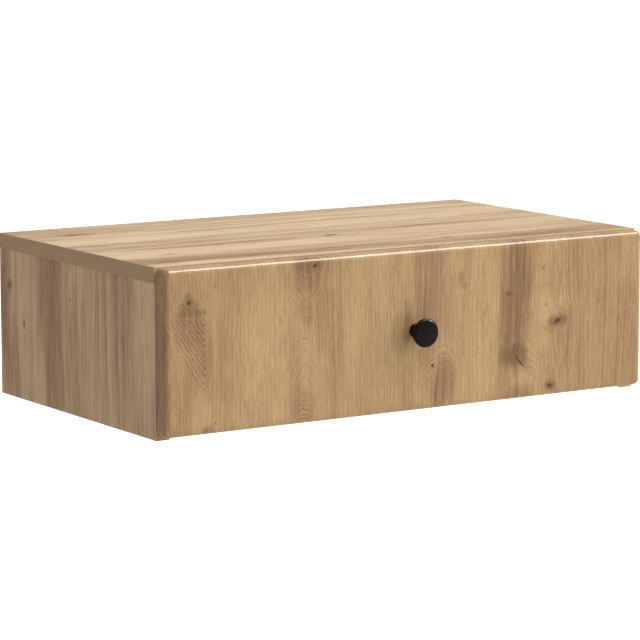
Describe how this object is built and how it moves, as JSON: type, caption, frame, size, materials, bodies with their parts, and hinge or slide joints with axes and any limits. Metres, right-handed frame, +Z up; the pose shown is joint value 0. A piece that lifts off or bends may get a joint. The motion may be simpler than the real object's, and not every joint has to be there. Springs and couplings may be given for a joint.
{
  "type": "wall-mounted side table",
  "caption": "Wall-mounted side table: a floating box with one drawer on ball-bearing runners, an overlaid front with rounded edges and a round knob.",
  "frame": {"origin": "middle of the four wall screw holes, on the plane of the wall", "axes": "+X along the width, +Y into the wall, +Z up"},
  "size_m": [0.6, 0.3745, 0.174],
  "materials": {
    "oak_top": "wood-grain laminate, satin",
    "taupe_band": "plain edge band, matt",
    "oak_side": "wood-grain laminate, satin",
    "oak_band": "wood-grain edge band, satin",
    "oak_inside": "wood-grain laminate, satin",
    "oak_front": "wood-grain foil, satin gloss",
    "hardboard": "painted hardboard, matt",
    "white_board": "white laminate, fine texture",
    "zinc": "bright zinc plate",
    "cam_alloy": "die-cast, matt",
    "runner_steel": "rolled, zinc plated",
    "ball_steel": "polished",
    "beech": "bare",
    "knob_black": "black powder coat, satin",
    "clear_rubber": "soft, clear"
  },
  "bodies": {
    "carcass": {"top_panel": "oak_top", "top_band_left": "taupe_band", "top_band_right": "taupe_band", "top_band_front": "taupe_band", "side_panel_left": "oak_side", "side_panel_right": "oak_side", "side_front_band_left": "oak_band", "side_front_band_right": "oak_band", "side_lower_band_left": "oak_band", "side_lower_band_right": "oak_band", "bottom_panel": "oak_inside", "bottom_front_band": "oak_band", "back_panel": "hardboard", "back_panel_screws": "zinc", "mounting_rail": "oak_inside", "cam_locks": "cam_alloy", "cam_bolts": "zinc", "carcass_dowels": "beech", "runner_outer_left": "runner_steel", "runner_outer_right": "runner_steel", "runner_outer_screws": "zinc"},
    "drawer": {"drawer_front": "oak_front", "drawer_box_front": "white_board", "drawer_side_left": "white_board", "drawer_side_right": "white_board", "drawer_back": "white_board", "drawer_bottom": "hardboard", "drawer_box_screws": "zinc", "front_fixing_screws": "zinc", "runner_inner_left": "runner_steel", "runner_inner_right": "runner_steel", "runner_inner_screws": "zinc", "knob": "knob_black", "knob_screw": "zinc", "knob_washer": "zinc", "front_bumpers": "clear_rubber"},
    "middle_left": {"runner_middle_left": "runner_steel"},
    "middle_right": {"runner_middle_right": "runner_steel"},
    "outer_cage_left": {"outer_cage_left": "runner_steel", "outer_balls_left": "ball_steel"},
    "outer_cage_right": {"outer_cage_right": "runner_steel", "outer_balls_right": "ball_steel"},
    "inner_cage_left": {"inner_cage_left": "runner_steel", "inner_balls_left": "ball_steel"},
    "inner_cage_right": {"inner_cage_right": "runner_steel", "inner_balls_right": "ball_steel"}
  },
  "joints": [
    {"name": "drawer_slide", "type": "slide", "parent": "carcass", "child": "drawer", "axis": [0, -1, 0], "range_m": [0, 0.28]},
    {"name": "middle_left_slide", "type": "slide", "parent": "carcass", "child": "middle_left", "axis": [0, -1, 0], "range_m": [0, 0.14]},
    {"name": "middle_right_slide", "type": "slide", "parent": "carcass", "child": "middle_right", "axis": [0, -1, 0], "range_m": [0, 0.14]},
    {"name": "outer_cage_left_slide", "type": "slide", "parent": "carcass", "child": "outer_cage_left", "axis": [0, -1, 0], "range_m": [0, 0.07]},
    {"name": "outer_cage_right_slide", "type": "slide", "parent": "carcass", "child": "outer_cage_right", "axis": [0, -1, 0], "range_m": [0, 0.07]},
    {"name": "inner_cage_left_slide", "type": "slide", "parent": "carcass", "child": "inner_cage_left", "axis": [0, -1, 0], "range_m": [0, 0.21]},
    {"name": "inner_cage_right_slide", "type": "slide", "parent": "carcass", "child": "inner_cage_right", "axis": [0, -1, 0], "range_m": [0, 0.21]}
  ],
  "couplings": [
    {"joint": "middle_left_slide", "follows": "drawer_slide", "ratio": 0.5},
    {"joint": "middle_right_slide", "follows": "drawer_slide", "ratio": 0.5},
    {"joint": "outer_cage_left_slide", "follows": "drawer_slide", "ratio": 0.25},
    {"joint": "outer_cage_right_slide", "follows": "drawer_slide", "ratio": 0.25},
    {"joint": "inner_cage_left_slide", "follows": "drawer_slide", "ratio": 0.75},
    {"joint": "inner_cage_right_slide", "follows": "drawer_slide", "ratio": 0.75}
  ]
}
